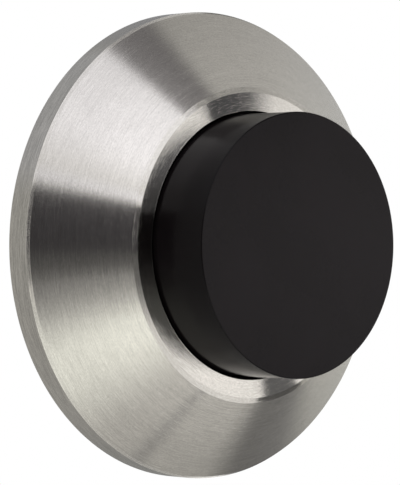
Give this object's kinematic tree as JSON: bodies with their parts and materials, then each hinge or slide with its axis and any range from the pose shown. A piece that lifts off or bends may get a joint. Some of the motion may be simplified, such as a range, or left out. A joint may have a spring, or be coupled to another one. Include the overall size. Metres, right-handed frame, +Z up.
{
  "type": "disc door stop",
  "caption": "Wall door stop: a conical steel disc with a rubber buffer in its pocket, fixed by one hidden screw and a plug.",
  "frame": {"origin": "centre of the disc's back face, on the wall, on the axis of the screw and plug", "axes": "wall plane is y = 0; +Y into the wall along the plug, -Y out to the door, +Z up the wall"},
  "size_m": [0.06, 0.0463, 0.06],
  "materials": {
    "brushed_stainless": "turned and brushed round the axis",
    "black_rubber": "matt moulded",
    "zinc_plated_steel": "bright zinc plated",
    "grey_nylon": "moulded"
  },
  "bodies": {
    "root": {"base_disc": "brushed_stainless", "rubber_buffer": "black_rubber", "fixing_screw": "zinc_plated_steel", "wall_plug": "grey_nylon"}
  },
  "joints": []
}
